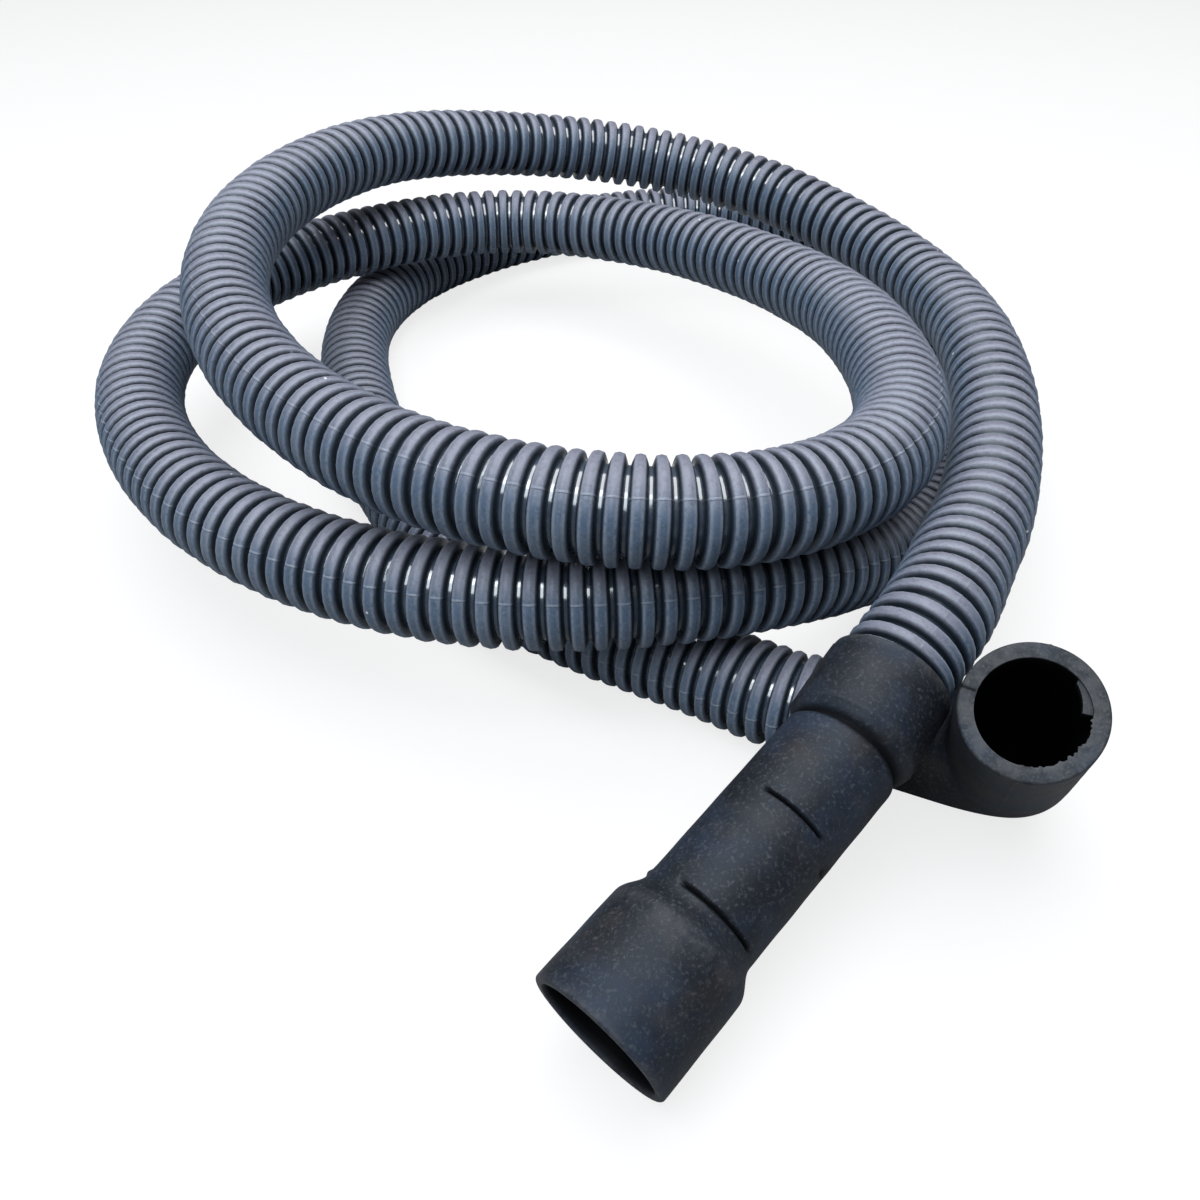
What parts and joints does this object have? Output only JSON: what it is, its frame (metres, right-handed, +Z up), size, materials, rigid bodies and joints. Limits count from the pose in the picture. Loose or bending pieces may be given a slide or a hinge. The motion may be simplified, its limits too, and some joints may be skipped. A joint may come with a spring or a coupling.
{
  "type": "discharge hose",
  "caption": "Corrugated plastic drain hose lying in two and a half loose loops, with a straight stepped rubber connector on one end and a right-angle rubber elbow on the other",
  "frame": {"origin": "On the floor under the middle of the whole part's box; the lowest strand, the elbow and the straight connector's mouth rest on z = 0.", "axes": "+Z up, +Y away from the two connectors along the coil's longest extent, +X to the side where the elbow lies."},
  "size_m": [0.2572, 0.3857, 0.0722],
  "materials": {
    "hose_plastic": "satin blue-grey corrugated plastic, a little shiny on the ribs' crests",
    "connector_rubber": "matt charcoal moulded rubber, dusty and lightly scuffed"
  },
  "bodies": {
    "root": {"hose": "hose_plastic", "drain_connector": "connector_rubber", "elbow_connector": "connector_rubber"}
  },
  "joints": []
}
